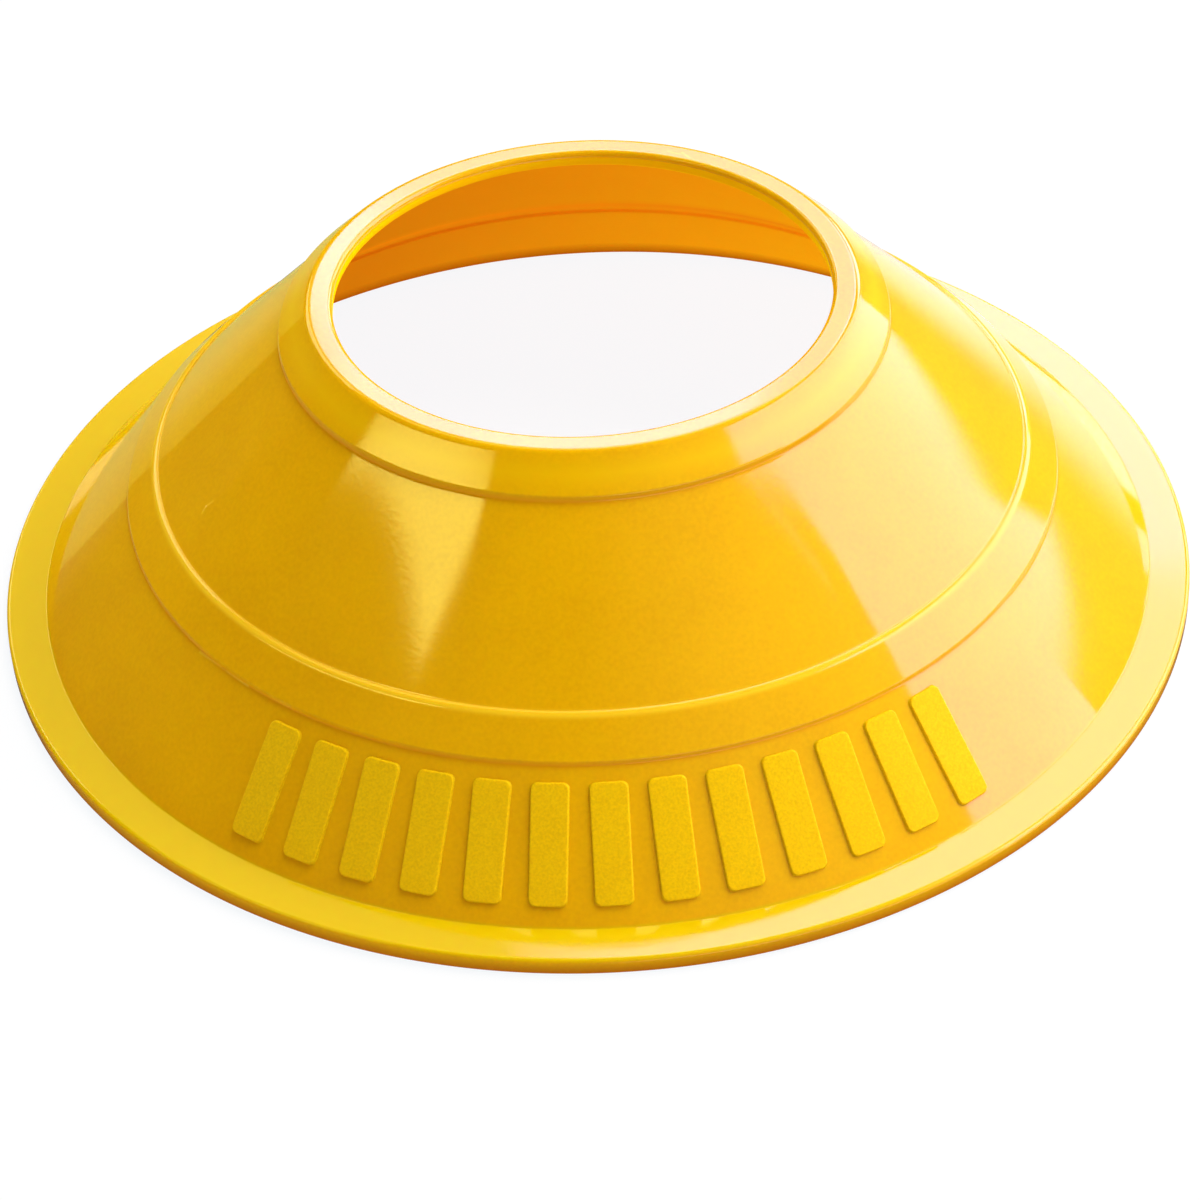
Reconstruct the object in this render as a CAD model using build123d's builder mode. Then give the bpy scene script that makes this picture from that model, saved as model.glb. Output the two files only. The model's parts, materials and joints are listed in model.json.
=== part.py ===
from build123d import *

import os
from math import cos, radians, sin, tan

# Marker cone: a low hollow cone of moulded plastic with a wide round opening at its top.
# Millimetres and degrees. The origin is on the ground under the centre of the opening, +Z is up.
# From the ground up the outside is a flat rim, the lower wall, a raised step band, the upper wall,
# a raised collar and the flat lip around the opening. One thin wall follows all of it inside.

# Rim
base_diameter = 190.0
rim_width = 6.4
rim_thickness = 2.7
rim_top_round = 0.8
rim_ground_round = 0.4

# Walls: each one climbs its rise at its own angle to the ground
wall = 1.5
lower_wall_rise = 17.4
lower_wall_angle = 48.8
upper_wall_rise = 21.2
upper_wall_angle = 45.3

# Step band: an upright riser at its foot and a level ledge at its top
band_riser = 0.8
band_rise = 4.9
band_angle = 46.0
band_ledge = 0.7

# Collar and lip
collar_riser = 1.1
collar_rise = 4.6
collar_angle = 44.0
collar_round = 1.5
lip_width = 3.9
lip_thickness = 2.5

# Rounding of the corners of the band and of the collar's foot
step_round = 0.4

# Raised bars on the front of the lower wall
bar_count = 13
bar_span = 76.0
bar_width = 5.5
bar_height = 0.5
bar_corner = 1.0
bar_foot_gap = 3.2
bar_head_gap = 2.4


def climb(start: Vector, rise: float, angle: float) -> Vector:
    """The upper end of a wall that climbs inwards from start."""
    return start + Vector(-rise / tan(radians(angle)), rise)


def inset(before: Vector, corner: Vector, after: Vector, depth: float) -> Vector:
    """The corner moved to the inside by depth, measured square to both of its sides."""
    arriving = (corner - before).normalized()
    leaving = (after - corner).normalized()
    middle = (arriving + leaving).normalized()
    inward = Vector(-middle.Y, middle.X)
    return corner + inward * (depth / middle.dot(arriving))


# Outside corners of the section, as (radius, height), from the ground up
rim_edge = Vector(base_diameter / 2, 0)
rim_top = rim_edge + Vector(0, rim_thickness)
wall_foot = rim_top - Vector(rim_width, 0)
riser_foot = climb(wall_foot, lower_wall_rise, lower_wall_angle)
band_foot = riser_foot + Vector(0, band_riser)
band_head = climb(band_foot, band_rise, band_angle)
ledge_end = band_head - Vector(band_ledge, 0)
collar_riser_foot = climb(ledge_end, upper_wall_rise, upper_wall_angle)
collar_foot = collar_riser_foot + Vector(0, collar_riser)
collar_head = climb(collar_foot, collar_rise, collar_angle)
lip_edge = collar_head - Vector(lip_width, 0)

# Inside corners: the wall's thickness in from the outside, from the ground to under the lip
step_corners = [riser_foot, band_foot, band_head, ledge_end, collar_riser_foot, collar_foot]
wall_line = [wall_foot, *step_corners, collar_head]
inside = [inset(a, b, c, wall) for a, b, c in zip(wall_line, wall_line[1:], wall_line[2:])]
ground_inside = wall_foot + Vector(
    rim_thickness / tan(radians(lower_wall_angle)) - wall / sin(radians(lower_wall_angle)),
    -rim_thickness,
)
lip_underside = collar_head.Y - lip_thickness
collar_inside_run = (lip_underside - collar_foot.Y) / tan(radians(collar_angle))
under_lip = Vector(
    collar_foot.X - collar_inside_run - wall / sin(radians(collar_angle)),
    lip_underside,
)
lip_bottom = Vector(lip_edge.X, lip_underside)

# Cone shell
outside = [rim_edge, rim_top, *wall_line, lip_edge]
outline = [*outside, lip_bottom, under_lip, *reversed(inside), ground_inside]
rounds = [(rim_edge, rim_ground_round), (rim_top, rim_top_round), (collar_head, collar_round)]
rounds += [(corner, step_round) for corner in step_corners]

with BuildPart() as cone_shell:
    with BuildSketch(Plane.XZ) as section:
        with BuildLine():
            Polyline(*outline, close=True)
        make_face()
        for corner, radius in rounds:
            fillet(section.vertices().sort_by_distance(corner)[0], radius)
    revolve(axis=Axis.Z)

# Raised bars: upright blocks of equal height, seated on the lower wall, the middle one facing -Y
wall_up = Vector(-cos(radians(lower_wall_angle)), sin(radians(lower_wall_angle)))
wall_out = Vector(sin(radians(lower_wall_angle)), cos(radians(lower_wall_angle)))
wall_length = (riser_foot - wall_foot).length
bar_length = wall_length - bar_foot_gap - bar_head_gap
bar_middle = wall_foot + wall_up * (bar_foot_gap + bar_length / 2)
bar_plane = Plane(
    origin=(0, -bar_middle.X, bar_middle.Y),
    x_dir=(1, 0, 0),
    z_dir=(0, -wall_out.X, wall_out.Y),
)
bar_out = wall_out * bar_height
skin = [wall_foot, riser_foot, riser_foot + bar_out, wall_foot + bar_out]

with BuildPart() as front_bar:
    with BuildSketch(Plane.XZ):
        with BuildLine():
            Polyline(*skin, close=True)
        make_face()
    revolve(axis=Axis.Z)
    with BuildSketch(bar_plane):
        RectangleRounded(bar_width, bar_length, bar_corner)
    extrude(amount=2 * bar_height, both=True, mode=Mode.INTERSECT)

with BuildPart() as raised_bars:
    with PolarLocations(0, bar_count, start_angle=-bar_span / 2, angular_range=bar_span, endpoint=True):
        add(front_bar.part)

cone_shell.part.label = "cone_shell"
raised_bars.part.label = "raised_bars"

os.makedirs("parts", exist_ok=True)
export_step(cone_shell.part, "parts/cone_shell.step")
export_step(raised_bars.part, "parts/raised_bars.step")

print(f"height {collar_head.Y:.2f}")
print(f"opening radius {lip_edge.X:.2f}, inside ground radius {ground_inside.X:.2f}")
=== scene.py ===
"""Low marker cone of moulded plastic: a stepped shell and raised bars, dressed and lit in a studio.

Metres and degrees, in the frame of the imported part: the origin is on the ground under the middle of the
top opening, +Z is up and the middle bar faces -Y.
"""

import json
import logging
import math
from collections.abc import Iterable, Mapping, Sequence
from dataclasses import dataclass
from enum import Enum
from typing import Any

import bmesh
import bpy
from mathutils import Matrix, Vector


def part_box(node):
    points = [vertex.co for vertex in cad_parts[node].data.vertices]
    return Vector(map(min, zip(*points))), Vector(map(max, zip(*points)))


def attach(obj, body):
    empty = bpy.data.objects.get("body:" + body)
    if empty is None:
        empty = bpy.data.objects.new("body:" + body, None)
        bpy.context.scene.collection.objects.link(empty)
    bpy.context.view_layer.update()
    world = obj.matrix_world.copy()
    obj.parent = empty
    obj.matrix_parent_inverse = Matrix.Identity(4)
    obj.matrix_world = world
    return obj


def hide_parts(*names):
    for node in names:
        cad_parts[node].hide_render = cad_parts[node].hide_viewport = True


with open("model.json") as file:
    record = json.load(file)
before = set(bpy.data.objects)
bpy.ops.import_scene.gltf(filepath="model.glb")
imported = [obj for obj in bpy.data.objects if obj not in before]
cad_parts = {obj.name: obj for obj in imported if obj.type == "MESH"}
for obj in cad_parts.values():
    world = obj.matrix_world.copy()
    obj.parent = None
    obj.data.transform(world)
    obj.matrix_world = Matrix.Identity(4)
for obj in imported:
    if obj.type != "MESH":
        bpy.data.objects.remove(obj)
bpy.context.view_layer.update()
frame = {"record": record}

log = logging.getLogger("marker_cone")

MM = 0.001
INSIDE_MARK = "inside"

Tone = tuple[float, float, float]
Point = tuple[float, float, float]
Span = tuple[float, float]
Look = tuple[float, float]
Ring = list[Vector]


class Node(Enum):
    """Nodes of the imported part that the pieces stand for."""

    SHELL = "cone_shell"
    BARS = "raised_bars"


class Slot(Enum):
    """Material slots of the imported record."""

    SHELL = "shell_plastic"
    BARS = "bar_plastic"


class Mount(Enum):
    """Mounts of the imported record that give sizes."""

    OPENING = "top_opening"


class Face(Enum):
    """The shell's two sides, with the mark that tells them apart."""

    OUTSIDE = 0.0
    INSIDE = 1.0


class Axis(Enum):
    """The part's axes that a tone may follow."""

    X = "X"
    Z = "Z"


class Duty(Enum):
    """What a lamp does: it lights the object, or it is only mirrored in its gloss."""

    LIGHT = "light"
    MIRRORED = "mirrored"


class Graph:
    """A node tree with short ways to add nodes and to join them."""

    def __init__(self, tree: bpy.types.NodeTree) -> None:
        """Wraps a tree and empties it.

        Args:
            tree: the shader or geometry tree to fill.
        """
        self.tree = tree
        tree.nodes.clear()

    def node(
        self, kind: str, inputs: Mapping[str | int, Any] | None = None, **settings: Any
    ) -> bpy.types.Node:
        """Adds a node.

        Args:
            kind: the node's type name.
            inputs: what each named or numbered input gets, a value or another node's output.
            settings: properties of the node itself.

        Returns:
            The new node.
        """
        made = self.tree.nodes.new(kind)
        for name, value in settings.items():
            setattr(made, name, value)
        for socket, value in (inputs or {}).items():
            self.feed(made.inputs[socket], value)
        return made

    def feed(self, socket: bpy.types.NodeSocket, value: Any) -> None:
        """Gives an input a value, or links it to an output.

        Args:
            socket: the input.
            value: a plain value, or another node's output.
        """
        if isinstance(value, bpy.types.NodeSocket):
            self.tree.links.new(value, socket)
        else:
            socket.default_value = value

    def math(self, operation: str, *values: Any, clamp: bool = False) -> bpy.types.NodeSocket:
        """Adds a Math node and returns its result."""
        inputs = dict(enumerate(values))
        return self.node("ShaderNodeMath", inputs, operation=operation, use_clamp=clamp).outputs[0]

    def vector(self, operation: str, *values: Any, scale: Any = None) -> bpy.types.Node:
        """Adds a Vector Math node.

        Args:
            operation: the node's operation.
            values: its vectors, in order.
            scale: the factor of the SCALE operation.

        Returns:
            The node, whose output is "Vector" or "Value".
        """
        made = self.node("ShaderNodeVectorMath", dict(enumerate(values)), operation=operation)
        if scale is not None:
            self.feed(made.inputs["Scale"], scale)
        return made

    def spread(
        self, value: Any, source: Span, target: tuple[Any, Any], smooth: bool = False
    ) -> bpy.types.NodeSocket:
        """Maps a value from one range onto another, held inside it.

        Args:
            value: the value to map.
            source: the range that it comes from.
            target: the range that it goes to, as values or other nodes' outputs.
            smooth: whether the ends ease in and out.

        Returns:
            The mapped value.
        """
        ends = {"From Min": source[0], "From Max": source[1], "To Min": target[0], "To Max": target[1]}
        made = self.node(
            "ShaderNodeMapRange",
            {"Value": value, **ends},
            interpolation_type="SMOOTHSTEP" if smooth else "LINEAR",
            clamp=True,
        )
        return made.outputs["Result"]

    def mix(self, factor: Any, first: Any, second: Any) -> bpy.types.NodeSocket:
        """Mixes two colours.

        Args:
            factor: the second colour's share.
            first: the first colour.
            second: the second colour.

        Returns:
            The mixed colour.
        """
        made = self.node("ShaderNodeMix", {"Factor": factor}, data_type="RGBA")
        self.feed(made.inputs[6], first)
        self.feed(made.inputs[7], second)
        return made.outputs[2]


def shader_graph(name: str) -> tuple[bpy.types.Material, Graph]:
    """Makes an empty node material.

    Args:
        name: the material's name.

    Returns:
        The material and the graph of its tree.
    """
    material = bpy.data.materials.new(name)
    material.use_nodes = True
    return material, Graph(material.node_tree)


def opaque(tone: Tone) -> tuple[float, float, float, float]:
    """A colour with full alpha, as colour sockets take it."""
    return (*tone, 1.0)


@dataclass(frozen=True)
class ScratchOrPaintedGlint:
    """A fine straight pale line across a surface, between two points. It draws wear marks, and also
    painted highlights.
    """

    start: Point
    end: Point
    width: float = 0.3 * MM
    core: float = 0.3

    def mask(self, graph: Graph, place: bpy.types.NodeSocket) -> bpy.types.NodeSocket:
        """Adds the nodes that find the line.

        Args:
            graph: the material's graph.
            place: the shaded point.

        Returns:
            A value that is 1 along the line and 0 away from it.
        """
        run = Vector(self.end) - Vector(self.start)
        from_start = graph.vector("SUBTRACT", place, self.start).outputs["Vector"]
        along = graph.vector("DOT_PRODUCT", from_start, run / run.length_squared).outputs["Value"]
        held = graph.math("ADD", along, 0.0, clamp=True)
        foot = graph.vector("SCALE", run, scale=held).outputs["Vector"]
        off = graph.vector("DISTANCE", from_start, foot).outputs["Value"]
        return graph.spread(off, (self.width * self.core, self.width), (1.0, 0.0), smooth=True)


@dataclass(frozen=True)
class PaintedShadingBand:
    """Painted light and shade: a lighter or darker colour round one level along an axis, fading out on
    both sides.
    """

    tone: Tone
    middle: float
    reach: float
    axis: Axis = Axis.Z

    def blend(
        self, graph: Graph, place: bpy.types.NodeSocket, colour: bpy.types.NodeSocket
    ) -> bpy.types.NodeSocket:
        """Adds the nodes that lay the tone over a colour.

        Args:
            graph: the material's graph.
            place: the shaded point.
            colour: the colour so far.

        Returns:
            The colour with the painted light or shade in its band.
        """
        level = graph.node("ShaderNodeSeparateXYZ", {0: place}).outputs[self.axis.value]
        off = graph.math("ABSOLUTE", graph.math("SUBTRACT", level, self.middle))
        return graph.mix(graph.spread(off, (0.0, self.reach), (1.0, 0.0)), colour, opaque(self.tone))


@dataclass(frozen=True)
class MouldedPlastic:
    """Slightly translucent moulded plastic: two close tones, a gloss and a fine grain. Painted light and
    shade may be laid over it round given levels, and pale lines: wear marks, and painted highlights drawn
    the same way.
    """

    name: str
    base: Tone
    deep: Tone
    roughness: Span
    gloss: float = 0.5
    ior: float = 1.56
    grain_scale: float = 1500.0
    grain_depth: float = 0.06 * MM
    grain_strength: float = 0.05
    grain_share: float = 0.5
    grain_detail: float = 2.0
    cloud_scale: float = 55.0
    cloud_detail: float = 4.0
    noise_span: Span = (0.3, 0.7)
    blend_span: Span = (0.2, 0.8)
    glow: float = 0.35
    glow_depth: float = 2.5 * MM
    glow_spread: Tone = (1.0, 0.55, 0.08)
    # Painted light and shade, each round a level along an axis.
    painted_shading_bands: tuple[PaintedShadingBand, ...] = ()
    # Pale lines: wear marks, and painted highlights drawn the same way.
    scratches_and_glints: tuple[ScratchOrPaintedGlint, ...] = ()
    scratch_and_glint_roughness: float = 0.15
    scratch_and_glint_tone: Tone = (0.9, 0.54, 0.01)

    @staticmethod
    def noise(
        graph: Graph, place: bpy.types.NodeSocket, scale: float, detail: float
    ) -> bpy.types.NodeSocket:
        """Adds a noise over the piece and returns its value."""
        made = graph.node("ShaderNodeTexNoise", {"Vector": place, "Scale": scale, "Detail": detail})
        return made.outputs[0]

    def make(self) -> bpy.types.Material:
        """Builds the material.

        Returns:
            The finished material.
        """
        material, graph = shader_graph(self.name)
        place = graph.node("ShaderNodeTexCoord").outputs["Object"]
        cloud = self.noise(graph, place, self.cloud_scale, self.cloud_detail)
        grain = self.noise(graph, place, self.grain_scale, self.grain_detail)
        blend = graph.math(
            "ADD",
            graph.spread(cloud, self.noise_span, (0.0, 1.0 - self.grain_share)),
            graph.spread(grain, self.noise_span, (0.0, self.grain_share)),
        )
        colour = graph.mix(blend, opaque(self.base), opaque(self.deep))
        # Painted light and shade: darker in creases, at the ground edge and on one side, lighter on
        # ledges and tops.
        for band in self.painted_shading_bands:
            colour = band.blend(graph, place, colour)
        rough = graph.spread(blend, self.blend_span, self.roughness)
        height = grain
        # Pale lines: wear marks, and painted highlights along fillets.
        for pale_line in self.scratches_and_glints:
            mask = pale_line.mask(graph, place)
            colour = graph.mix(mask, colour, opaque(self.scratch_and_glint_tone))
            rough = graph.math("MULTIPLY_ADD", mask, self.scratch_and_glint_roughness, rough)
            height = graph.math("SUBTRACT", height, mask)
        bump = graph.node(
            "ShaderNodeBump",
            {"Height": height, "Strength": self.grain_strength, "Distance": self.grain_depth},
        )
        shader = graph.node(
            "ShaderNodeBsdfPrincipled",
            {
                "Base Color": colour,
                "Roughness": rough,
                "Normal": bump.outputs[0],
                "IOR": self.ior,
                "Specular IOR Level": self.gloss,
                "Subsurface Weight": self.glow,
                "Subsurface Scale": self.glow_depth,
                "Subsurface Radius": self.glow_spread,
            },
        )
        graph.node("ShaderNodeOutputMaterial", {"Surface": shader.outputs[0]})
        return material


@dataclass(frozen=True)
class FloorPaint:
    """Plain pale sheet that glows, as a studio's light table does."""

    name: str = "pale_floor"
    tone: Tone = (0.11, 0.082, 0.065)
    glow: float = 0.93
    glow_tone: Tone = (0.935, 0.975, 1.0)

    def make(self) -> bpy.types.Material:
        """Builds the material.

        Returns:
            The finished material.
        """
        material, graph = shader_graph(self.name)
        shader = graph.node(
            "ShaderNodeBsdfPrincipled",
            {
                "Base Color": opaque(self.tone),
                "Roughness": 1.0,
                "Specular IOR Level": 0.0,
                "Emission Color": opaque(self.glow_tone),
                "Emission Strength": self.glow,
            },
        )
        graph.node("ShaderNodeOutputMaterial", {"Surface": shader.outputs[0]})
        return material


class GeometryRecipe:
    """A Geometry Nodes tree with named inputs, run once and kept as a plain mesh."""

    def __init__(self, name: str) -> None:
        """Starts an empty tree.

        Args:
            name: the tree's name.
        """
        self.tree = bpy.data.node_groups.new(name, "GeometryNodeTree")
        self.graph = Graph(self.tree)
        self.tree.interface.new_socket(
            name="Geometry", in_out="OUTPUT", socket_type="NodeSocketGeometry"
        )
        self.inputs = self.graph.node("NodeGroupInput")
        self.values: dict[str, Any] = {}

    def take(self, name: str, kind: str, value: Any) -> bpy.types.NodeSocket:
        """Adds a named input and remembers its value.

        Args:
            name: the input's name.
            kind: the socket's type name.
            value: what the modifier gives it.

        Returns:
            The output of the group's input node that carries it.
        """
        socket = self.tree.interface.new_socket(name=name, in_out="INPUT", socket_type=kind)
        self.values[socket.identifier] = value
        return self.inputs.outputs[name]

    def close(
        self, geometry: bpy.types.NodeSocket, finishes: Iterable[tuple[bpy.types.NodeSocket, Any]]
    ) -> None:
        """Ends the tree with smooth shading, real instances and the finishes.

        Args:
            geometry: what the tree has made.
            finishes: each material with the faces that take it, in order.
        """
        smooth = self.graph.node("GeometryNodeSetShadeSmooth", {"Geometry": geometry})
        dressed = self.graph.node("GeometryNodeRealizeInstances", {"Geometry": smooth.outputs[0]})
        for material, faces in finishes:
            dressed = self.graph.node(
                "GeometryNodeSetMaterial",
                {"Geometry": dressed.outputs[0], "Selection": faces, "Material": material},
            )
        self.graph.node("NodeGroupOutput", {0: dressed.outputs[0]})

    def run(self, name: str) -> bpy.types.Mesh:
        """Evaluates the tree on an empty mesh.

        Args:
            name: the name of the mesh that is kept.

        Returns:
            A plain mesh with its faces pointing outwards.
        """
        holder = place_object(name + "_recipe", bpy.data.meshes.new(name + "_recipe"))
        modifier = holder.modifiers.new(self.tree.name, "NODES")
        modifier.node_group = self.tree
        for identifier, value in self.values.items():
            modifier[identifier] = value
        graph = bpy.context.evaluated_depsgraph_get()
        mesh = bpy.data.meshes.new_from_object(holder.evaluated_get(graph), depsgraph=graph)
        mesh.name = name
        holder.modifiers.remove(modifier)
        discard(holder)
        point_outwards(mesh)
        return mesh


def place_object(name: str, mesh: bpy.types.Mesh) -> bpy.types.Object:
    """Links a mesh into the scene as an object at the origin.

    Args:
        name: the object's name.
        mesh: its mesh.

    Returns:
        The new object.
    """
    made = bpy.data.objects.new(name, mesh)
    bpy.context.scene.collection.objects.link(made)
    return made


def discard(helper: bpy.types.Object) -> None:
    """Removes a helper object and its mesh.

    Args:
        helper: the object.
    """
    mesh = helper.data
    bpy.data.objects.remove(helper)
    bpy.data.meshes.remove(mesh)


def point_outwards(mesh: bpy.types.Mesh) -> None:
    """Turns every face of a closed mesh outwards.

    Args:
        mesh: the mesh, changed in place.
    """
    bm = bmesh.new()
    bm.from_mesh(mesh)
    bmesh.ops.recalc_face_normals(bm, faces=bm.faces)
    bm.to_mesh(mesh)
    bm.free()


@dataclass(frozen=True)
class Corner:
    """A corner of a flat outline, the radius that rounds it and the face that starts at it."""

    place: Vector
    rounding: float = 0.0
    face: Face = Face.OUTSIDE


@dataclass(frozen=True)
class OutlinePoint:
    """A point of a finished outline and the face that it lies on."""

    place: Vector
    face: Face


def arc_points(before: Vector, corner: Corner, after: Vector, step: float) -> Ring:
    """The points that round one corner.

    Args:
        before: the outline's corner before it.
        corner: the corner.
        after: the outline's corner after it.
        step: the largest turn from one point to the next.

    Returns:
        The points of the arc in order, or the corner itself where it stays sharp.
    """
    if corner.rounding == 0.0:
        return [corner.place]
    arriving = (corner.place - before).normalized()
    leaving = (after - corner.place).normalized()
    turn = math.atan2(arriving.x * leaving.y - arriving.y * leaving.x, arriving.dot(leaving))
    start = corner.place - arriving * corner.rounding * math.tan(abs(turn) / 2)
    side = math.copysign(1.0, turn)
    centre = start + Vector((-arriving.y, arriving.x)) * corner.rounding * side
    count = max(2, math.ceil(abs(math.degrees(turn)) / step))
    spoke = start - centre
    return [centre + Matrix.Rotation(turn * i / count, 2) @ spoke for i in range(count + 1)]


def run_points(start: Vector, end: Vector, step: float, margin: float) -> Ring:
    """The points inside a straight run: one near each end, and even ones between.

    Args:
        start: the run's first point.
        end: its last point.
        step: the largest distance between the even points.
        margin: how far the outer ones stand from the ends.

    Returns:
        The points in order, without the ends.
    """
    length = (end - start).length
    if length < 3 * margin:
        return []
    first, last = start.lerp(end, margin / length), end.lerp(start, margin / length)
    count = max(1, math.ceil((length - 2 * margin) / step))
    return [first.lerp(last, i / count) for i in range(count + 1)]


def rounded_outline(
    corners: Sequence[Corner], turn_step: float, run_step: float, margin: float
) -> list[OutlinePoint]:
    """Walks a closed outline with rounded corners.

    Args:
        corners: the outline's corners in order.
        turn_step: the largest turn between two points of an arc.
        run_step: the largest distance between two points of a straight run.
        margin: the distance of the points that guard the ends of each run.

    Returns:
        The outline's points in order.
    """
    places = [corner.place for corner in corners]
    arcs = [
        arc_points(places[i - 1], corner, places[(i + 1) % len(places)], turn_step)
        for i, corner in enumerate(corners)
    ]
    points: list[OutlinePoint] = []
    for corner, arc, following in zip(corners, arcs, arcs[1:] + arcs[:1]):
        stretch = arc + run_points(arc[-1], following[0], run_step, margin)
        points += [OutlinePoint(place, corner.face) for place in stretch]
    return points


@dataclass(frozen=True)
class ConeSection:
    """Half section of the shell, in radius and height. Its first four sizes come from the frame."""

    base_radius: float
    height: float
    opening_radius: float
    lip_thickness: float
    rim_width: float = 6.4 * MM
    rim_thickness: float = 2.7 * MM
    wall: float = 1.5 * MM
    lower_rise: float = 17.4 * MM
    lower_angle: float = 48.8
    band_riser: float = 0.8 * MM
    band_rise: float = 4.9 * MM
    band_angle: float = 46.0
    band_ledge: float = 0.7 * MM
    upper_rise: float = 21.2 * MM
    upper_angle: float = 45.3
    collar_riser: float = 1.1 * MM
    collar_angle: float = 44.0
    rim_ground_round: float = 0.5 * MM
    rim_top_round: float = 0.6 * MM
    foot_round: float = 0.25 * MM
    hollow_round: float = 0.5 * MM
    crest_round: float = 0.35 * MM
    band_round: float = 1.35 * MM
    ledge_round: float = 0.25 * MM
    collar_round: float = 1.5 * MM
    lip_round: float = 0.75 * MM
    lip_skin: float = 0.95 * MM
    underside_round: float = 0.4 * MM
    inside_round: float = 0.8 * MM

    @staticmethod
    def climb(start: Vector, rise: float, angle: float) -> Vector:
        """The upper end of a wall that climbs inwards from start."""
        return start + Vector((-rise / math.tan(math.radians(angle)), rise))

    def wall_foot(self) -> Vector:
        """Where the lower wall leaves the rim."""
        return Vector((self.base_radius - self.rim_width, self.rim_thickness))

    def wall_line(self) -> list[Corner]:
        """The outside corners from the wall's foot to the edge of the lip's face.

        Returns:
            The corners in order.
        """
        foot = self.wall_foot()
        riser_foot = self.climb(foot, self.lower_rise, self.lower_angle)
        band_foot = riser_foot + Vector((0.0, self.band_riser))
        band_head = self.climb(band_foot, self.band_rise, self.band_angle)
        ledge_end = band_head - Vector((self.band_ledge, 0.0))
        collar_riser_foot = self.climb(ledge_end, self.upper_rise, self.upper_angle)
        collar_foot = collar_riser_foot + Vector((0.0, self.collar_riser))
        collar_head = self.climb(collar_foot, self.height - collar_foot.y, self.collar_angle)
        return [
            Corner(foot, self.foot_round),
            Corner(riser_foot, self.hollow_round),
            Corner(band_foot, self.crest_round),
            Corner(band_head, self.band_round),
            Corner(ledge_end, self.ledge_round),
            Corner(collar_riser_foot, self.hollow_round),
            Corner(collar_foot, self.crest_round),
            Corner(collar_head, self.collar_round),
        ]

    def inset(self, before: Vector, corner: Vector, after: Vector) -> Vector:
        """Moves a corner inside by the wall's thickness, square to both of its sides.

        Args:
            before: the corner before it.
            corner: the corner.
            after: the corner after it.

        Returns:
            The moved corner.
        """
        arriving, leaving = (corner - before).normalized(), (after - corner).normalized()
        middle = (arriving + leaving).normalized()
        return corner + Vector((-middle.y, middle.x)) * (self.wall / middle.dot(arriving))

    def hollow_line(self) -> list[Corner]:
        """The inside corners from the edge under the lip down to the ground.

        Returns:
            The corners in order.
        """
        places = [corner.place for corner in self.wall_line()]
        inside = [self.inset(a, b, c) for a, b, c in zip(places, places[1:], places[2:])]
        foot, collar_foot = places[0], places[-2]
        underside = self.height - self.lip_thickness
        slant, collar = math.radians(self.lower_angle), math.radians(self.collar_angle)
        collar_run = (underside - collar_foot.y) / math.tan(collar)
        under_lip = Vector((collar_foot.x - collar_run - self.wall / math.sin(collar), underside))
        rim_run = self.rim_thickness / math.tan(slant)
        ground = Vector((foot.x + rim_run - self.wall / math.sin(slant), 0.0))
        return [
            Corner(Vector((self.opening_radius, underside)), self.underside_round, Face.INSIDE),
            Corner(under_lip, self.inside_round, Face.INSIDE),
            *(Corner(place, self.inside_round, Face.INSIDE) for place in reversed(inside)),
            Corner(ground, self.rim_ground_round, Face.INSIDE),
        ]

    def corners(self) -> list[Corner]:
        """The closed section from the rim's ground edge up the outside and down the inside.

        Returns:
            Its corners in order.
        """
        return [
            Corner(Vector((self.base_radius, 0.0)), self.rim_ground_round),
            Corner(Vector((self.base_radius, self.rim_thickness)), self.rim_top_round),
            *self.wall_line(),
            Corner(Vector((self.opening_radius, self.height)), self.lip_round),
            Corner(Vector((self.opening_radius, self.height - self.lip_skin)), face=Face.INSIDE),
            *self.hollow_line(),
        ]


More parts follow.
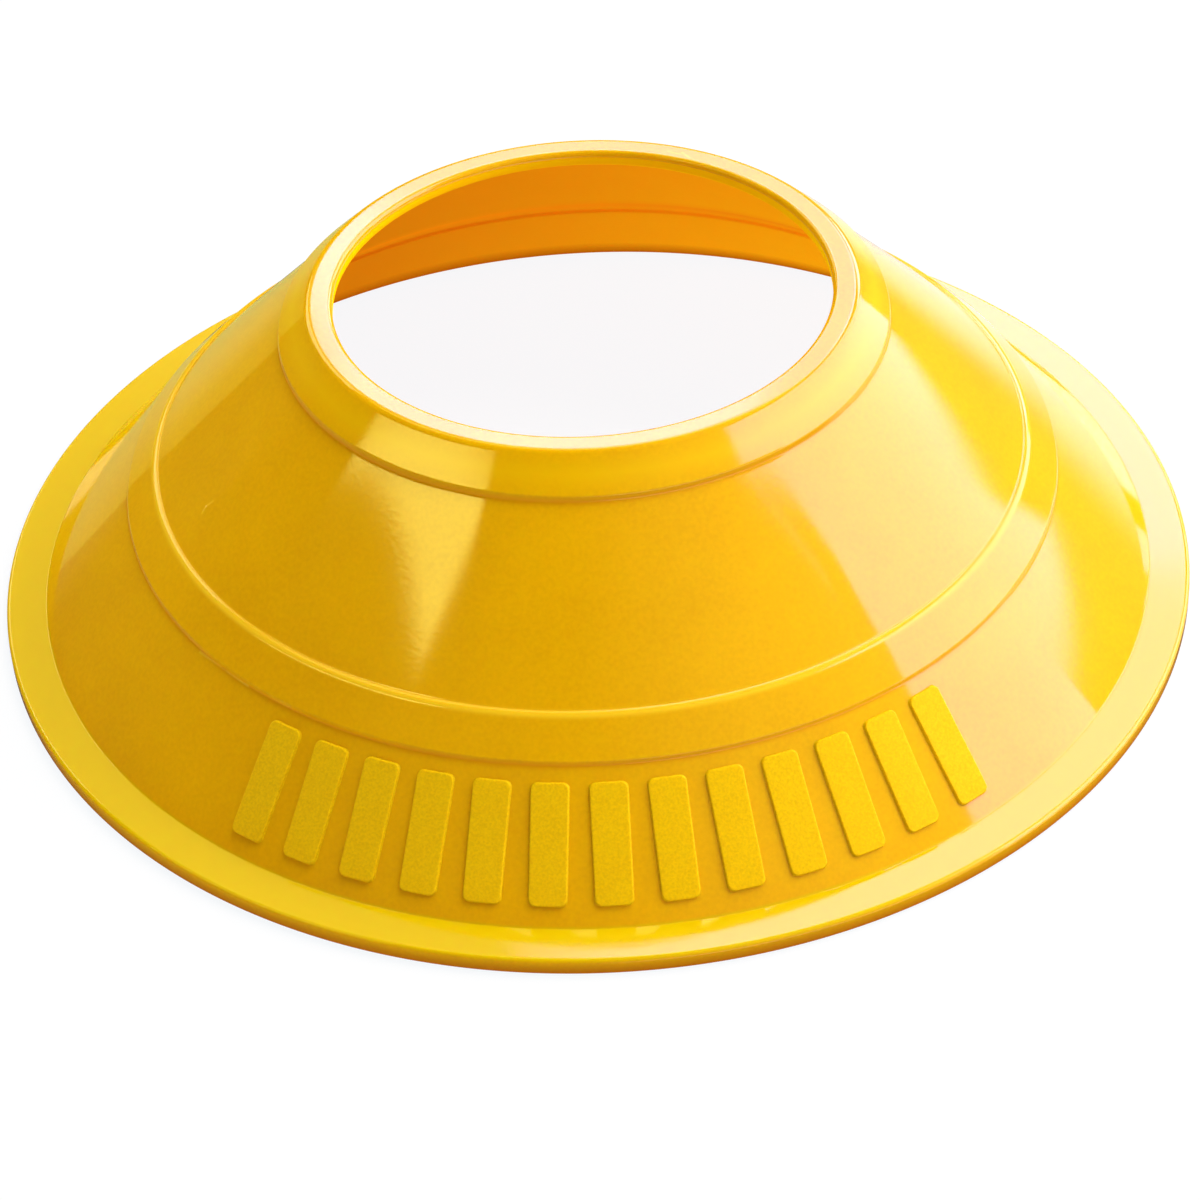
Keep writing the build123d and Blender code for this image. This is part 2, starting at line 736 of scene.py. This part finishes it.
@dataclass
class ConeShell:
    """The one-piece moulding: rim, lower wall, step band, upper wall, collar and lip."""

    section: ConeSection
    outside: MouldedPlastic
    inside: MouldedPlastic
    segments: int = 400
    turn_step: float = 9.5
    run_step: float = 3.0 * MM
    run_margin: float = 0.16 * MM
    ripple: float = 0.05 * MM
    ripple_scale: float = 42.0
    ripple_detail: float = 1.0
    ripple_seed: float = 7.0
    rim_fade: Span = (0.06, 0.16)
    lip_fade: Span = (0.88, 0.97)

    def profile(self) -> bpy.types.Object:
        """Draws the section as a loop of edges, ready to be swept round the axis.

        Returns:
            A helper object, with a mark on the points of the inside.
        """
        corners = self.section.corners()
        outline = rounded_outline(corners, self.turn_step, self.run_step, self.run_margin)
        points = [(p.place.x - self.section.base_radius, -p.place.y, 0.0) for p in outline]
        edges = [(i, (i + 1) % len(points)) for i in range(len(points))]
        mesh = bpy.data.meshes.new("cone_profile")
        mesh.from_pydata(points, edges, [])
        marks = mesh.attributes.new(INSIDE_MARK, "FLOAT", "POINT")
        marks.data.foreach_set("value", [p.face.value for p in outline])
        return place_object("cone_profile", mesh)

    def recipe(self, profile: bpy.types.Object) -> GeometryRecipe:
        """Builds the tree that sweeps the section round the axis and lets the walls waver slightly.

        Args:
            profile: the section's loop of edges.

        Returns:
            The tree, ready to run.
        """
        recipe = GeometryRecipe("swept_shell")
        graph = recipe.graph
        section = recipe.take("Section", "NodeSocketObject", profile)
        segments = recipe.take("Segments", "NodeSocketInt", self.segments)
        radius = recipe.take("Base Radius", "NodeSocketFloat", self.section.base_radius)
        height = recipe.take("Height", "NodeSocketFloat", self.section.height)
        ripple = recipe.take("Ripple", "NodeSocketFloat", self.ripple)
        ripple_scale = recipe.take("Ripple Scale", "NodeSocketFloat", self.ripple_scale)
        seed = recipe.take("Seed", "NodeSocketFloat", self.ripple_seed)
        outside = recipe.take("Outside Finish", "NodeSocketMaterial", self.outside.make())
        inside = recipe.take("Inside Finish With Painted Glow", "NodeSocketMaterial", self.inside.make())

        loop = graph.node("GeometryNodeObjectInfo", {"Object": section})
        loop_curve = graph.node("GeometryNodeMeshToCurve", {"Mesh": loop.outputs["Geometry"]})
        circle = graph.node(
            "GeometryNodeCurvePrimitiveCircle", {"Resolution": segments, "Radius": radius}
        )
        upright = graph.node("GeometryNodeSetCurveNormal", {"Curve": circle.outputs[0]}, mode="Z_UP")
        swept = graph.node(
            "GeometryNodeCurveToMesh",
            {"Curve": upright.outputs[0], "Profile Curve": loop_curve.outputs[0]},
        )

        place = graph.node("GeometryNodeInputPosition").outputs[0]
        split = graph.node("ShaderNodeSeparateXYZ", {0: place})
        level = graph.math("DIVIDE", split.outputs["Z"], height)
        above_rim = graph.spread(level, self.rim_fade, (0.0, 1.0), smooth=True)
        below_lip = graph.spread(level, self.lip_fade, (1.0, 0.0), smooth=True)
        noise = graph.node(
            "ShaderNodeTexNoise",
            {"Vector": place, "W": seed, "Scale": ripple_scale, "Detail": self.ripple_detail},
            noise_dimensions="4D",
        )
        swing = graph.math("MULTIPLY", graph.math("SUBTRACT", noise.outputs[0], 0.5), ripple)
        swing = graph.math("MULTIPLY", graph.math("MULTIPLY", swing, above_rim), below_lip)
        flat = graph.node("ShaderNodeCombineXYZ", {"X": split.outputs["X"], "Y": split.outputs["Y"]})
        outward = graph.vector("NORMALIZE", flat.outputs[0]).outputs["Vector"]
        offset = graph.vector("SCALE", outward, scale=swing).outputs["Vector"]
        wavering = graph.node(
            "GeometryNodeSetPosition", {"Geometry": swept.outputs[0], "Offset": offset}
        )
        mark = graph.node("GeometryNodeInputNamedAttribute", {"Name": INSIDE_MARK}, data_type="FLOAT")
        within = graph.math("GREATER_THAN", mark.outputs["Attribute"], 0.5)
        recipe.close(wavering.outputs[0], [(outside, True), (inside, within)])
        return recipe

    def build(self) -> bpy.types.Object:
        """Makes the shell.

        Returns:
            The piece, riding on the part and standing for its shell.
        """
        profile = self.profile()
        mesh = self.recipe(profile).run("moulded_shell")
        mesh.attributes.remove(mesh.attributes[INSIDE_MARK])
        discard(profile)
        return settle(place_object("moulded_shell", mesh), Node.SHELL)


@dataclass
class RaisedBars:
    """The row of plain frosted bars on the front of the lower wall."""

    section: ConeSection
    finish: MouldedPlastic
    count: int = 13
    span: float = 76.0
    width: float = 5.5 * MM
    rise: float = 0.5 * MM
    corner: float = 1.0 * MM
    foot_gap: float = 3.2 * MM
    head_gap: float = 2.4 * MM
    edge_round: float = 0.16 * MM
    edge_steps: int = 5
    face_shares: tuple[float, ...] = (0.07, 0.2, 0.35, 0.46)
    foot_flare: float = 0.12 * MM
    flare_knee: Span = (0.4, 0.3)
    sunk: float = 0.06 * MM
    corner_step: float = 15.0
    run_step: float = 1.6 * MM
    run_margin: float = 0.2 * MM

    def slant_length(self) -> float:
        """The lower wall's length along its slope."""
        return self.section.lower_rise / math.sin(math.radians(self.section.lower_angle))

    def length(self) -> float:
        """A bar's length along the wall."""
        return self.slant_length() - self.foot_gap - self.head_gap

    def on_wall(self, across: float, along: float, out: float) -> Vector:
        """Puts a point of the front bar on the conical wall.

        Args:
            across: its distance from the bar's middle line.
            along: its distance up the slope from the bar's middle.
            out: its height over the wall.

        Returns:
            The point in the part's frame.
        """
        slope = math.radians(self.section.lower_angle)
        foot = self.section.wall_foot()
        up = self.foot_gap + self.length() / 2 + along
        radius = foot.x - up * math.cos(slope) + out * math.sin(slope)
        level = foot.y + up * math.sin(slope) + out * math.cos(slope)
        return Vector((across, -math.sqrt(radius * radius - across * across), level))

    def outline(self, inset: float) -> Ring:
        """The bar's rounded outline in its own plane, drawn in by inset all round.

        Args:
            inset: how far it is drawn in, negative where it flares.

        Returns:
            Its points, always the same number.
        """
        half_width, half_length = self.width / 2, self.length() / 2
        corners = [
            Corner(Vector((sx * half_width, sy * half_length)), self.corner)
            for sx, sy in ((1, -1), (1, 1), (-1, 1), (-1, -1))
        ]
        points = rounded_outline(corners, self.corner_step, self.run_step, self.run_margin)
        narrow, short = 1.0 - inset / half_width, 1.0 - inset / half_length
        return [Vector((p.place.x * narrow, p.place.y * short)) for p in points]

    def rings(self) -> list[tuple[float, float]]:
        """The bar's outlines from its foot to the middle of its face.

        Returns:
            Each one's inset and its height over the wall, in order.
        """
        flare, edge = self.foot_flare, self.edge_round
        knee = (-self.flare_knee[0] * flare, self.flare_knee[1] * flare)
        foot = [(-flare, -self.sunk), (-flare, 0.0), knee, (0.0, flare)]
        turns = [math.pi / 2 * i / self.edge_steps for i in range(self.edge_steps + 1)]
        crest = [(edge * (1 - math.cos(t)), self.rise - edge * (1 - math.sin(t))) for t in turns]
        face = [(self.width * share, self.rise) for share in self.face_shares]
        return foot + crest + face

    def front_bar(self) -> bpy.types.Object:
        """Makes the middle bar as a closed solid that follows the wall's curve.

        Returns:
            A helper object with the bar's mesh.
        """
        bm = bmesh.new()
        loops = []
        for inset, out in self.rings():
            loops.append([bm.verts.new(self.on_wall(p.x, p.y, out)) for p in self.outline(inset)])
        for lower, upper in zip(loops, loops[1:]):
            for i in range(len(lower)):
                j = (i + 1) % len(lower)
                bm.faces.new((lower[i], lower[j], upper[j], upper[i]))
        bm.faces.new(loops[-1])
        bm.faces.new(reversed(loops[0]))
        bmesh.ops.recalc_face_normals(bm, faces=bm.faces)
        mesh = bpy.data.meshes.new("front_bar")
        bm.to_mesh(mesh)
        bm.free()
        return place_object("front_bar", mesh)

    def recipe(self, bar: bpy.types.Object) -> GeometryRecipe:
        """Builds the tree that sets the bars out round the axis.

        Args:
            bar: the middle bar.

        Returns:
            The tree, ready to run.
        """
        recipe = GeometryRecipe("row_of_bars")
        graph = recipe.graph
        source = recipe.take("Bar", "NodeSocketObject", bar)
        count = recipe.take("Count", "NodeSocketInt", self.count)
        span = recipe.take("Span", "NodeSocketFloat", math.radians(self.span))
        finish = recipe.take("Finish", "NodeSocketMaterial", self.finish.make())
        shape = graph.node("GeometryNodeObjectInfo", {"Object": source})
        points = graph.node("GeometryNodeMeshLine", {"Count": count, "Offset": (0.0, 0.0, 0.0)})
        index = graph.node("GeometryNodeInputIndex").outputs[0]
        share = graph.math("DIVIDE", index, graph.math("SUBTRACT", count, 1.0))
        angle = graph.math("MULTIPLY", graph.math("SUBTRACT", share, 0.5), span)
        turn = graph.node("ShaderNodeCombineXYZ", {"Z": angle})
        row = graph.node(
            "GeometryNodeInstanceOnPoints",
            {
                "Points": points.outputs[0],
                "Instance": shape.outputs["Geometry"],
                "Rotation": turn.outputs[0],
            },
        )
        recipe.close(row.outputs[0], [(finish, True)])
        return recipe

    def build(self) -> bpy.types.Object:
        """Makes the row of bars.

        Returns:
            The piece, riding on the part and standing for its bars.
        """
        bar = self.front_bar()
        mesh = self.recipe(bar).run("frosted_bars")
        discard(bar)
        return settle(place_object("frosted_bars", mesh), Node.BARS)


def settle(piece: bpy.types.Object, node: Node) -> bpy.types.Object:
    """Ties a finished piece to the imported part.

    Args:
        piece: the piece.
        node: the node of the part that it stands for.

    Returns:
        The piece.
    """
    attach(piece, "root")
    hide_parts(node.value)
    return piece


def toward(azimuth: float, elevation: float) -> Vector:
    """The direction from the object to a place round it.

    Args:
        azimuth: degrees from the front, -Y, towards +X.
        elevation: degrees above the ground.

    Returns:
        A unit vector.
    """
    a, e = math.radians(azimuth), math.radians(elevation)
    return Vector((math.sin(a) * math.cos(e), -math.cos(a) * math.cos(e), math.sin(e)))


@dataclass(frozen=True)
class Panel:
    """A flat panel that faces the object, with its width and height as the angles that they fill."""

    azimuth: float
    elevation: float
    wide: float
    high: float
    roll: float = 0.0
    distance: float = 2.5

    def reach(self, angle: float) -> float:
        """How far from its middle the panel fills an angle."""
        return self.distance * math.tan(math.radians(angle))

    def size(self) -> Vector:
        """The panel's width and height."""
        return Vector((2 * self.reach(self.wide / 2), 2 * self.reach(self.high / 2)))

    def axes(self) -> Matrix:
        """The panel's own axes: X along its width, Y up its height and Z out of its back.

        Returns:
            A matrix with one axis in each column.
        """
        back = toward(self.azimuth, self.elevation)
        level = toward(self.azimuth + 90.0, 0.0)
        turn = Matrix((level, back.cross(level), back)).transposed()
        return turn @ Matrix.Rotation(math.radians(self.roll), 3, "Z")

    def meet(self, look: Look) -> Vector:
        """Where a look from the object, as azimuth and elevation, meets the panel's plane."""
        local = self.axes().transposed() @ toward(*look)
        return Vector((local.x, local.y)) * (self.distance / local.z)


@dataclass(frozen=True)
class Shade:
    """A dark part of a lamp's face: what lies on the left of all its edges, each from look to look."""

    edges: tuple[tuple[Look, Look], ...]
    softness: float = 0.6

    def mask(self, graph: Graph, panel: Panel, spot: bpy.types.NodeSocket) -> bpy.types.NodeSocket:
        """Adds the nodes that leave the light out of the dark part.

        Args:
            graph: the lamp's graph.
            panel: the lamp's panel.
            spot: the shining point, from 0 to 1 over the panel's width and height.

        Returns:
            A value that is 0 in the dark part and 1 elsewhere.
        """
        size, soft = panel.size(), panel.reach(self.softness)
        dark: Any = 1.0
        for start, end in self.edges:
            first = panel.meet(start)
            run = (panel.meet(end) - first).normalized()
            left = Vector((-run.y, run.x))
            across = (left.x * size.x, left.y * size.y, 0.0)
            along = graph.vector("DOT_PRODUCT", spot, across).outputs["Value"]
            off = graph.math("SUBTRACT", along, left.dot(first + size / 2))
            within = graph.spread(off, (-soft, soft), (0.0, 1.0), smooth=True)
            dark = graph.math("MULTIPLY", dark, within)
        return graph.math("SUBTRACT", 1.0, dark)


@dataclass(frozen=True)
class Softbox:
    """A studio lamp, which lights the object or is mirrored in its gloss."""

    name: str
    panel: Panel
    radiance: float
    duty: Duty
    tone: Tone = (1.0, 1.0, 1.0)
    shades: tuple[Shade, ...] = ()

    def shape_light(self, lamp: bpy.types.AreaLight) -> None:
        """Takes the light out of the lamp's dark parts.

        Args:
            lamp: the lamp's data.
        """
        lamp.use_nodes = True
        graph = Graph(lamp.node_tree)
        spot = graph.node("ShaderNodeNewGeometry").outputs["Parametric"]
        strength: Any = 1.0
        for shade in self.shades:
            strength = graph.math("MULTIPLY", strength, shade.mask(graph, self.panel, spot))
        shine = graph.node("ShaderNodeEmission", {"Strength": strength})
        graph.node("ShaderNodeOutputLight", {"Surface": shine.outputs[0]})

    def hang(self) -> bpy.types.Object:
        """Puts the lamp in its place.

        Returns:
            The light object, out of the camera's sight.
        """
        size, axes = self.panel.size(), self.panel.axes()
        lamp = bpy.data.lights.new(self.name, "AREA")
        lamp.shape = "RECTANGLE"
        lamp.size, lamp.size_y = size
        lamp.energy = self.radiance * math.pi * size.x * size.y
        lamp.color = self.tone
        if self.shades:
            self.shape_light(lamp)
        made = bpy.data.objects.new(self.name, lamp)
        bpy.context.scene.collection.objects.link(made)
        made.matrix_world = Matrix.Translation(axes.col[2] * self.panel.distance) @ axes.to_4x4()
        made.visible_camera = False
        made.visible_diffuse = self.duty is Duty.LIGHT
        made.visible_glossy = self.duty is Duty.MIRRORED
        return made


@dataclass(frozen=True)
class Studio:
    """The floor, the surroundings, the lamps and the camera."""

    lamps: tuple[Softbox, ...]
    floor: FloorPaint
    floor_radius: float = 3.4
    floor_bend: float = 1.2
    floor_drop: float = 0.1 * MM
    floor_sides: int = 96
    bend_steps: int = 12
    ground: Span = (0.17, 1.4)
    ground_turn: Span = (-0.15, 0.25)
    walls: Span = (0.03, 0.25)
    walls_turn: Span = (-0.2, 0.7)
    horizon_turn: Span = (-0.28, -0.09)
    underfoot: float = 0.08
    underfoot_turn: Span = (-0.6, -0.48)
    lens: float = 103.25
    camera_place: Point = (0.0, -0.43792, 0.34688)
    camera_aim: Point = (0.0002, -0.0114, 0.0)
    camera_roll: float = -3.021

    def lay_floor(self) -> None:
        """Lays the pale floor just under the rim. Far out it bends up into a backdrop."""
        turns = [math.pi / 2 * i / self.bend_steps for i in range(self.bend_steps + 1)]
        ring = [toward(360.0 * i / self.floor_sides, 0.0) for i in range(self.floor_sides)]
        points: Ring = []
        for t in turns:
            out = self.floor_radius + self.floor_bend * math.sin(t)
            up = self.floor_bend * (1 - math.cos(t)) - self.floor_drop
            points += [spoke * out + Vector((0.0, 0.0, up)) for spoke in ring]
        faces = [tuple(range(self.floor_sides))]
        for first in range(0, self.floor_sides * self.bend_steps, self.floor_sides):
            for i in range(self.floor_sides):
                a, b = first + i, first + (i + 1) % self.floor_sides
                faces.append((a, a + self.floor_sides, b + self.floor_sides, b))
        mesh = bpy.data.meshes.new("floor")
        mesh.from_pydata(points, [], faces)
        mesh.materials.append(self.floor.make())
        mesh.shade_smooth()
        floor = place_object("floor", mesh)
        floor.visible_glossy = False

    def surround(self) -> None:
        """Fills the surroundings: a ground, dark underfoot, and walls that brighten to the right."""
        world = bpy.data.worlds.new("studio")
        world.use_nodes = True
        graph = Graph(world.node_tree)
        look = graph.node("ShaderNodeTexCoord").outputs["Generated"]
        split = graph.node("ShaderNodeSeparateXYZ", {0: look})
        ground = graph.spread(split.outputs["X"], self.ground_turn, self.ground, smooth=True)
        walls = graph.spread(split.outputs["X"], self.walls_turn, self.walls, smooth=True)
        rise = split.outputs["Z"]
        below = graph.spread(rise, self.underfoot_turn, (self.underfoot, ground), smooth=True)
        level = graph.spread(rise, self.horizon_turn, (below, walls), smooth=True)
        light = graph.node("ShaderNodeBackground", {"Strength": level})
        graph.node("ShaderNodeOutputWorld", {"Surface": light.outputs[0]})
        bpy.context.scene.world = world

    def set_camera(self) -> None:
        """Stands the camera at the picture's angle."""
        data = bpy.data.cameras.new("camera")
        data.lens = self.lens
        camera = bpy.data.objects.new("camera", data)
        bpy.context.scene.collection.objects.link(camera)
        place = Vector(self.camera_place)
        turn = (Vector(self.camera_aim) - place).to_track_quat("-Z", "Y").to_matrix()
        turn = turn @ Matrix.Rotation(math.radians(self.camera_roll), 3, "Z")
        camera.matrix_world = Matrix.Translation(place) @ turn.to_4x4()
        bpy.context.scene.camera = camera

    def build(self) -> None:
        """Sets up everything round the object."""
        self.lay_floor()
        self.surround()
        for lamp in self.lamps:
            lamp.hang()
        self.set_camera()
        bpy.context.scene.view_settings.view_transform = "Standard"


def packed_section() -> ConeSection:
    """Takes the shell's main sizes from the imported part.

    Returns:
        The shell's section.
    """
    low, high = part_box(Node.SHELL.value)
    mounts = {mount["name"]: mount for mount in frame["record"]["mounts"]}
    opening = mounts[Mount.OPENING.value]["dims"]
    return ConeSection(
        base_radius=(high.x - low.x) / 2,
        height=high.z,
        opening_radius=opening["r_mm"] * MM,
        lip_thickness=opening["length_mm"] * MM,
    )


GLOSS_YELLOW = MouldedPlastic(
    name="gloss_yellow_plastic",
    base=(0.85, 0.465, 0.0005),
    deep=(0.74, 0.385, 0.0004),
    roughness=(0.045, 0.08),
    painted_shading_bands=(
        # Painted shade: darker towards the rim's ground edge.
        PaintedShadingBand((0.46, 0.1, 0.0004), middle=0.0, reach=2.4 * MM),
        # Painted light: a lighter, lemon rim top, where more light falls from above.
        PaintedShadingBand((0.74, 0.5, 0.0006), middle=2.7 * MM, reach=0.4 * MM),
        # Painted shade in the crease at the foot of the band's step.
        PaintedShadingBand((0.8, 0.37, 0.0003), middle=20.2 * MM, reach=0.7 * MM),
        # Painted highlight along the ledge at the top of the band.
        PaintedShadingBand((0.88, 0.54, 0.012), middle=25.6 * MM, reach=0.5 * MM),
        # Painted shade in the crease at the foot of the collar's step.
        PaintedShadingBand((0.8, 0.37, 0.0003), middle=47.2 * MM, reach=0.7 * MM),
        # Painted light: a lighter yellow round the collar's rounded top, below the lip.
        PaintedShadingBand((0.84, 0.49, 0.0005), middle=50.3 * MM, reach=2.2 * MM),
    ),
    scratches_and_glints=(
        ScratchOrPaintedGlint((-0.05940, -0.02263, 0.03022), (-0.05873, -0.02205, 0.03106)),
        ScratchOrPaintedGlint((-0.05873, -0.02205, 0.03106), (-0.05754, -0.02227, 0.03211)),
        # Painted highlight, not wear: a pale line along the fillet at the foot of the band's step.
        ScratchOrPaintedGlint((-0.05973, -0.04304, 0.01983), (-0.05215, -0.05170, 0.02004)),
        ScratchOrPaintedGlint((0.01497, 0.03734, 0.05270), (0.01685, 0.03624, 0.05270)),
        ScratchOrPaintedGlint((0.01720, 0.03664, 0.05270), (0.01839, 0.03488, 0.05269)),
    ),
)

# The inside's plastic, matt and a deeper orange: painted glow standing in for light that bounces inside
# the cone and passes through its wall.
INSIDE_PAINTED_GLOW = MouldedPlastic(
    name="matt_inside_painted_glow",
    base=(0.98, 0.415, 0.004),
    deep=(0.95, 0.38, 0.003),
    roughness=(0.6, 0.75),
    gloss=0.0,
    grain_strength=0.2,
    painted_shading_bands=(
        # Painted shade: the inside darker towards -X, the side away from the light.
        PaintedShadingBand((0.66, 0.17, 0.003), middle=-60.0 * MM, reach=105.0 * MM, axis=Axis.X),
        # Painted shade round the inside of the band's step.
        PaintedShadingBand((0.88, 0.26, 0.003), middle=22.6 * MM, reach=4.0 * MM),
        # Painted shade: darker towards the ground edge inside.
        PaintedShadingBand((0.46, 0.1, 0.001), middle=0.0, reach=5.0 * MM),
        # Painted light: a lighter yellow on the lip's inner face, as where light glows through the thin
        # lip.
        PaintedShadingBand((0.98, 0.6, 0.001), middle=51.3 * MM, reach=2.2 * MM),
    ),
)

# The bars' frosted plastic: the frosting is real, while its base, lighter than the shell's, is painted
# sheen standing in for the soft reflection of the frosted faces.
FROSTED_YELLOW = MouldedPlastic(
    name="frosted_yellow_plastic",
    base=(0.95, 0.555, 0.001),
    deep=(0.79, 0.435, 0.0006),
    roughness=(0.5, 0.66),
    gloss=0.06,
    grain_scale=2600.0,
    grain_depth=0.1 * MM,
    grain_strength=0.35,
    grain_share=0.9,
    glow=0.3,
    glow_depth=1.5 * MM,
)

WINDOW_SHADES = (
    Shade(
        (((72.2, 38.3), (66.9, 40.8)), ((75.2, 35.2), (72.5, 38.2)), ((70.5, 24.0), (74.9, 35.5))),
        softness=0.5,
    ),
    Shade((((62.5, 20.0), (62.5, 60.0)), ((50.0, 43.2), (80.0, 43.2))), softness=2.0),
    Shade(
        (((137.0, 2.2), (117.0, 12.3)), ((117.0, 7.0), (137.0, -4.0)), ((115.0, 14.0), (123.0, 4.0))),
        softness=1.0,
    ),
    Shade((((121.0, 3.0), (100.0, 12.6)), ((101.0, 20.0), (101.0, 0.0))), softness=0.5),
)

STRIP_SHADES = (
    Shade((((-53.3, 41.8), (-92.3, 29.9)),)),
    Shade((((-43.2, 47.0), (-50.6, 42.6)),)),
    Shade((((-44.5, 60.0), (-44.5, 47.5)),), softness=1.0),
    Shade((((-93.0, 20.0), (-93.0, 50.0)),), softness=1.5),
    Shade((((-92.0, 33.5), (-49.6, 49.5)),), softness=2.5),
)

BACK_SHADE = Shade((((181.5, 48.0), (189.0, 30.0)),), softness=2.0)

ROSE = (1.0, 0.65, 1.0)

LAMPS = (
    Softbox("top_light", Panel(115.0, 68.0, 42.0, 32.0), 7.0, Duty.LIGHT),
    Softbox("right_light", Panel(104.0, 26.5, 65.0, 42.0, distance=2.2), 3.6, Duty.LIGHT),
    Softbox("left_light", Panel(-140.0, 15.0, 40.0, 20.0), 6.0, Duty.LIGHT),
    Softbox("front_light", Panel(-30.0, 32.0, 50.0, 24.0), 0.85, Duty.LIGHT),
    Softbox(
        "right_window", Panel(98.0, 27.5, 80.0, 54.0), 4.2, Duty.MIRRORED,
        tone=(1.0, 0.5, 1.0), shades=WINDOW_SHADES,
    ),
    Softbox("window_frame", Panel(66.0, 39.9, 8.0, 0.35, roll=-43.0), 1.2, Duty.MIRRORED, ROSE),
    Softbox(
        "left_strip", Panel(-70.0, 42.0, 46.0, 18.0, roll=18.0), 7.2, Duty.MIRRORED,
        tone=(1.0, 0.95, 0.2), shades=STRIP_SHADES,
    ),
    Softbox("left_glow", Panel(-162.0, -14.0, 44.0, 32.0), 0.45, Duty.MIRRORED, (1.0, 1.0, 0.12)),
    Softbox(
        "back_lamp", Panel(174.5, 38.0, 17.0, 27.0, roll=20.0), 4.3, Duty.MIRRORED,
        tone=ROSE, shades=(BACK_SHADE,),
    ),
    Softbox("low_back_lamp", Panel(153.0, 22.0, 18.0, 14.0), 7.0, Duty.MIRRORED, ROSE),
    Softbox("high_back_lamp", Panel(180.0, 59.0, 40.0, 14.0), 2.5, Duty.MIRRORED, (1.0, 0.9, 0.25)),
    Softbox("rim_lamp", Panel(168.5, 34.5, 7.0, 8.0), 3.2, Duty.MIRRORED, (1.0, 0.25, 1.0)),
    Softbox("lip_lamp", Panel(182.5, 36.2, 11.0, 5.0, roll=-20.0), 3.2, Duty.MIRRORED, ROSE),
    Softbox("rear_glow", Panel(191.0, 39.0, 10.0, 22.0), 0.28, Duty.MIRRORED),
    Softbox("left_edge_lamp", Panel(-149.0, 33.0, 18.0, 26.0), 2.6, Duty.MIRRORED, (1.0, 1.0, 0.6)),
)


def main() -> None:
    """Builds the pieces and the studio in order."""
    logging.basicConfig(level=logging.INFO, format="%(message)s")
    section = packed_section()
    pieces = [
        ConeShell(section, GLOSS_YELLOW, INSIDE_PAINTED_GLOW).build(),
        RaisedBars(section, FROSTED_YELLOW).build(),
    ]
    for piece in pieces:
        log.info("%s: %d faces", piece.name, len(piece.data.polygons))
    Studio(LAMPS, FloorPaint()).build()


if __name__ == "__main__":
    main()
